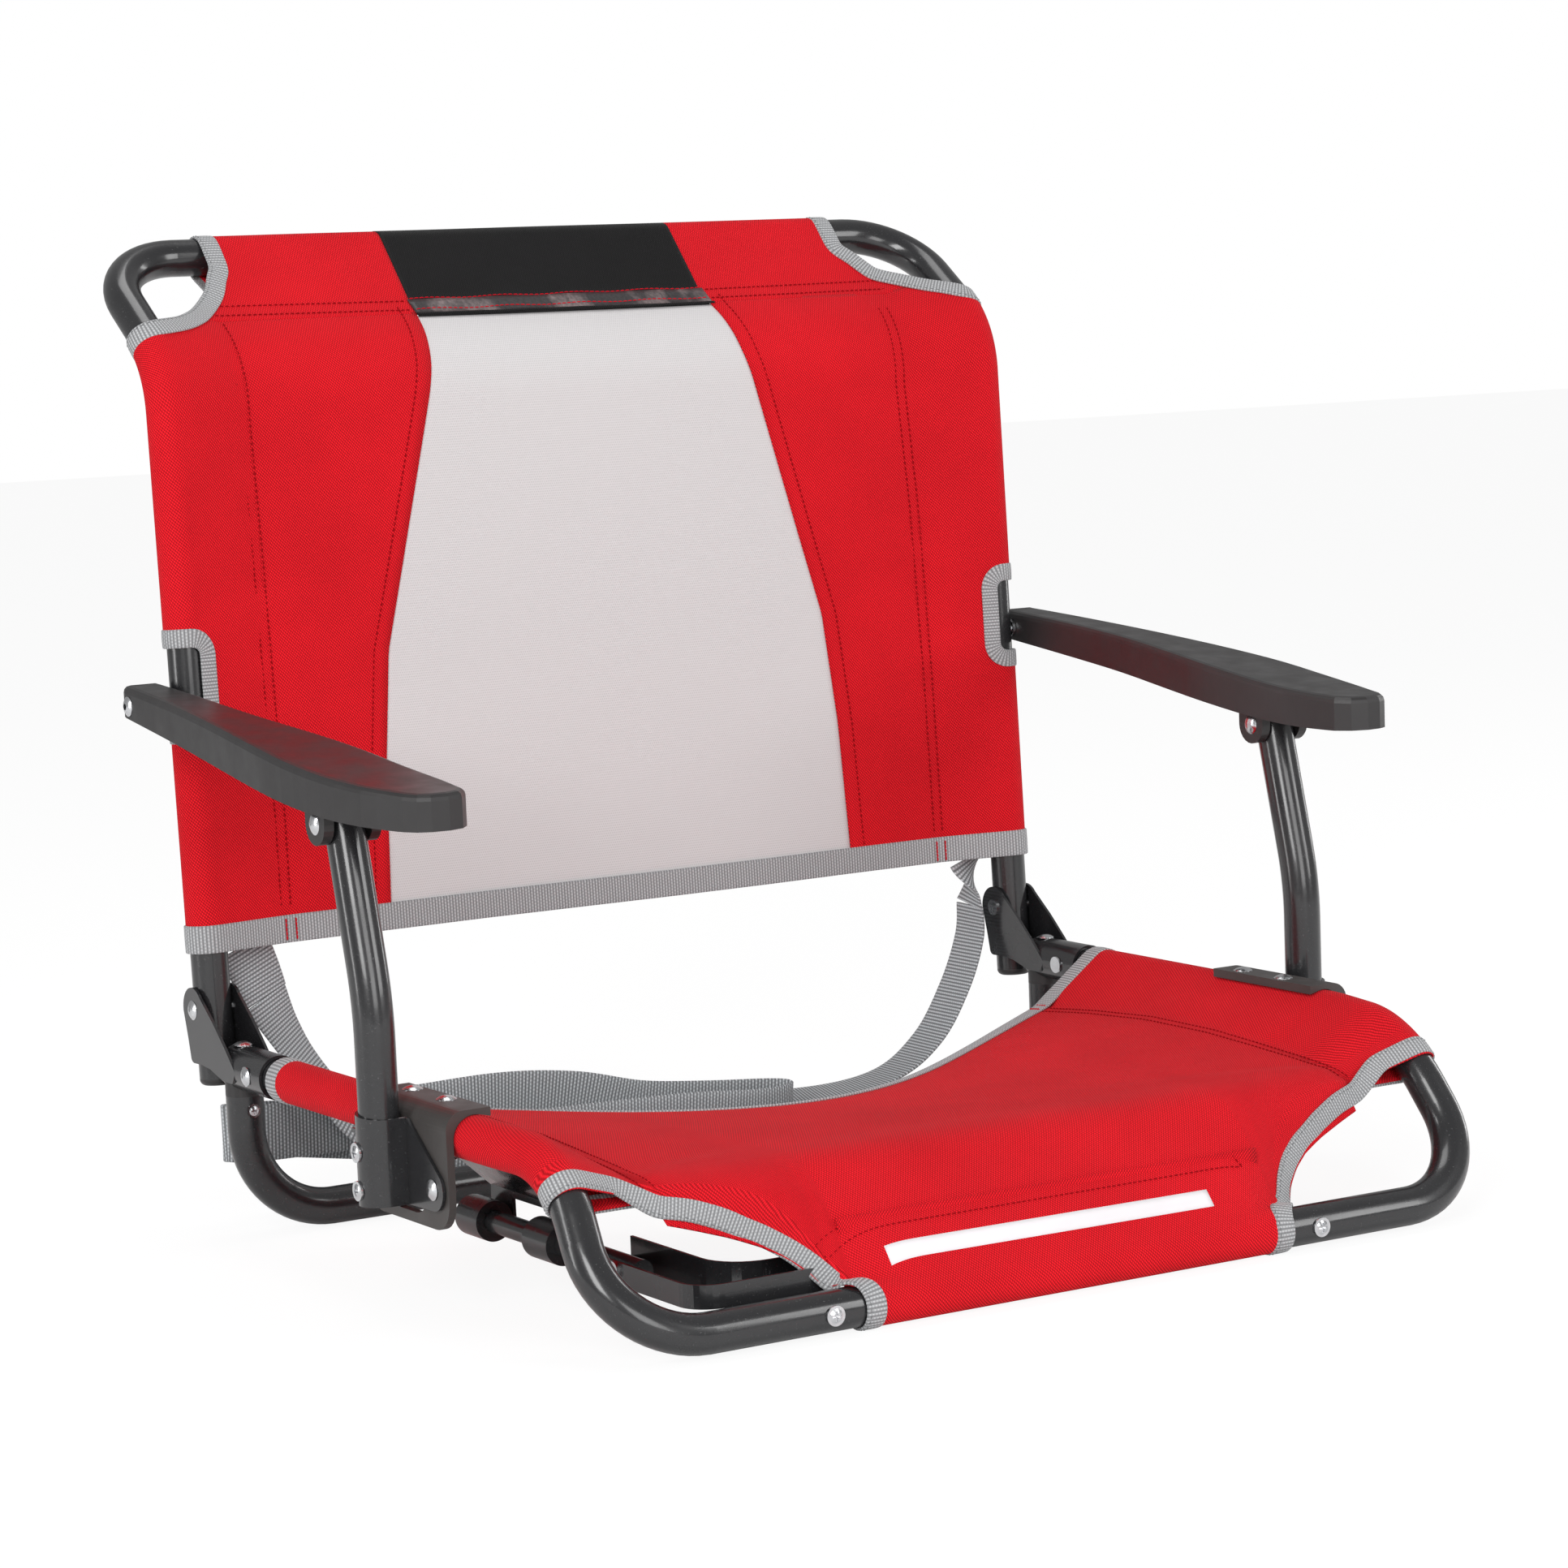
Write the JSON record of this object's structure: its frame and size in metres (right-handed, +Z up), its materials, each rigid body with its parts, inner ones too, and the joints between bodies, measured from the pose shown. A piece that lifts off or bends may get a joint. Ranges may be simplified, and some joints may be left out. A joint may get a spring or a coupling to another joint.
{
  "type": "folding bleacher chair",
  "caption": "Low folding bench-top seat: tube frame, hinged back with armrests on pivoting posts, fabric slings and a turning bench hook below.",
  "frame": {"origin": "on the bench surface, midway between the rails, 231 mm behind the front bar's centre line and 174.5 mm in front of the back hinge", "axes": "+X to the viewer's right when facing the chair's front, +Y to the rear, +Z up; the chair faces -Y"},
  "size_m": [0.5846, 0.5179, 0.5021],
  "materials": {
    "black_paint": "satin powder coat on steel",
    "black_plastic": "moulded, fine grain",
    "brown_plastic": "moulded, slightly glossy brown grey",
    "zinc": "zinc plated",
    "red_cloth": "plain woven polyester",
    "grey_binding": "ribbed binding tape",
    "pale_mesh": "woven sling mesh",
    "black_cloth": "plain woven polyester",
    "grey_webbing": "woven webbing"
  },
  "bodies": {
    "seat": {"seat_tube": "black_paint", "rear_leg_tube": "black_paint", "leg_plugs": "black_plastic", "leg_screws": "zinc", "front_screws": "zinc", "hinge_bracket_left": "black_paint", "hinge_bracket_right": "black_paint", "rail_rivets": "zinc", "hinge_rivets": "zinc", "saddle_left": "brown_plastic", "saddle_right": "brown_plastic", "saddle_rivets": "zinc", "post_pivot_rivets": "zinc", "hook_hanger": "black_paint", "hook_collars": "black_paint", "seat_sling": "red_cloth", "seat_rear_binding": "grey_binding", "seat_corner_bindings": "grey_binding", "strap_loop": "grey_webbing"},
    "hook": {"hook_rod": "black_paint", "hook_channel": "black_paint", "hook_rivets": "zinc"},
    "back": {"back_tube": "black_paint", "back_end_caps": "black_plastic", "arm_pivot_rivets": "zinc", "back_panel_left": "red_cloth", "back_panel_right": "red_cloth", "back_mesh": "pale_mesh", "back_top_band": "black_cloth", "back_hem_binding": "grey_binding", "back_corner_bindings": "grey_binding", "strap_end_left": "grey_webbing", "strap_end_right": "grey_webbing"},
    "arm_left": {"armrest_left": "black_plastic", "lug_rivets_left": "zinc"},
    "arm_right": {"armrest_right": "black_plastic", "lug_rivets_right": "zinc"},
    "post_left": {"post_tube_left": "black_paint", "post_clamp_left": "black_paint", "clamp_screws_left": "zinc"},
    "post_right": {"post_tube_right": "black_paint", "post_clamp_right": "black_paint", "clamp_screws_right": "zinc"}
  },
  "joints": [
    {"name": "back_fold", "type": "hinge", "parent": "seat", "child": "back", "pos_m": [0, 0.1745, 0.1127], "axis": [1, 0, 0], "range_deg": [0, 70]},
    {"name": "arm_left_turn", "type": "hinge", "parent": "back", "child": "arm_left", "pos_m": [-0.269, 0.18189, 0.2682], "axis": [1, 0, 0], "range_deg": [-89.5, 0]},
    {"name": "arm_right_turn", "type": "hinge", "parent": "back", "child": "arm_right", "pos_m": [0.269, 0.18189, 0.2682], "axis": [1, 0, 0], "range_deg": [-89.5, 0]},
    {"name": "post_left_turn", "type": "hinge", "parent": "seat", "child": "post_left", "pos_m": [-0.26, -0.096, 0.063], "axis": [1, 0, 0], "range_deg": [0, 51.95]},
    {"name": "post_right_turn", "type": "hinge", "parent": "seat", "child": "post_right", "pos_m": [0.26, -0.096, 0.063], "axis": [1, 0, 0], "range_deg": [0, 51.95]},
    {"name": "hook_turn", "type": "hinge", "parent": "seat", "child": "hook", "pos_m": [-0.188, -0.06, 0.0245], "axis": [0, 1, 0], "range_deg": [0, 90]}
  ],
  "couplings": [
    {"joint": "arm_left_turn", "follows": "back_fold", "ratio": -1.2777},
    {"joint": "arm_right_turn", "follows": "back_fold", "ratio": -1.2777},
    {"joint": "post_left_turn", "follows": "back_fold", "ratio": 0.74129},
    {"joint": "post_right_turn", "follows": "back_fold", "ratio": 0.74129}
  ]
}
